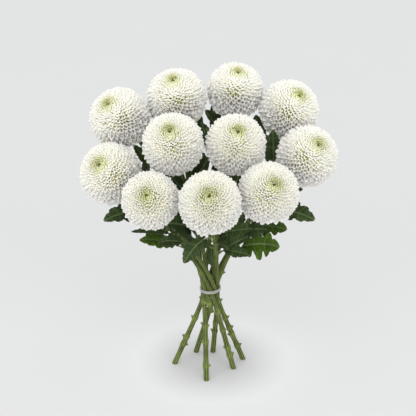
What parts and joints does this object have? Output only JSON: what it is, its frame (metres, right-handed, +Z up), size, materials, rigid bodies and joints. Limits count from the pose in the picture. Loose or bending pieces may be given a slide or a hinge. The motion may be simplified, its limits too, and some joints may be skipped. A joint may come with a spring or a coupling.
{
  "type": "tied bunch of disbud chrysanthemums",
  "caption": "Hand-tied bunch of white ball chrysanthemums with lobed leaves, held by one thin band and standing on its splayed cut stems.",
  "frame": {"origin": "on the surface it stands on, under the middle of the bunch's bounding box", "axes": "+Z up from the cut stem ends to the blooms; -Y is the front, towards which the blooms face; +X is the viewer's right"},
  "size_m": [0.3788, 0.2817, 0.4687],
  "materials": {
    "petals": "matte",
    "leaf": "satin",
    "stem": "satin",
    "band": "satin"
  },
  "bodies": {
    "root": {"bloom_back_far_left": "petals", "bloom_back_left": "petals", "bloom_back_right": "petals", "bloom_back_far_right": "petals", "bloom_middle_far_left": "petals", "bloom_middle_left": "petals", "bloom_middle_right": "petals", "bloom_middle_far_right": "petals", "bloom_front_left": "petals", "bloom_front_middle": "petals", "bloom_front_right": "petals", "stem_back_far_left": "stem", "stem_back_left": "stem", "stem_back_right": "stem", "stem_back_far_right": "stem", "stem_middle_far_left": "stem", "stem_middle_left": "stem", "stem_middle_right": "stem", "stem_middle_far_right": "stem", "stem_front_left": "stem", "stem_front_middle": "stem", "stem_front_right": "stem", "leaf_middle_far_left_256": "leaf", "leaf_front_left_238": "leaf", "leaf_middle_far_left_206": "leaf", "leaf_middle_far_left_230": "leaf", "leaf_front_left_222": "leaf", "leaf_front_middle_240": "leaf", "leaf_front_middle_212": "leaf", "leaf_front_right_206": "leaf", "leaf_middle_far_right_224": "leaf", "leaf_middle_far_right_256": "leaf", "leaf_middle_far_right_280": "leaf", "leaf_middle_left_232": "leaf", "leaf_front_right_238": "leaf", "leaf_front_right_232": "leaf", "leaf_front_middle_226": "leaf", "leaf_front_middle_250": "leaf", "leaf_back_left_318": "leaf", "leaf_back_right_322": "leaf", "leaf_back_right_334": "leaf", "leaf_back_far_right_322": "leaf", "leaf_middle_far_right_288": "leaf", "leaf_back_far_left_296": "leaf", "leaf_middle_left_286": "leaf", "leaf_middle_left_304": "leaf", "leaf_back_left_290": "leaf", "leaf_middle_right_304": "leaf", "leaf_middle_right_284": "leaf", "leaf_middle_right_262": "leaf", "leaf_back_right_262": "leaf", "leaf_back_left_250": "leaf", "leaf_back_far_right_256": "leaf", "leaf_back_far_left_268": "leaf", "leaf_back_left_214": "leaf", "leaf_back_right_228": "leaf", "leaf_back_far_right_232": "leaf", "leaf_back_left_234": "leaf", "leaf_back_far_left_236": "leaf", "tie_band": "band"}
  },
  "joints": []
}
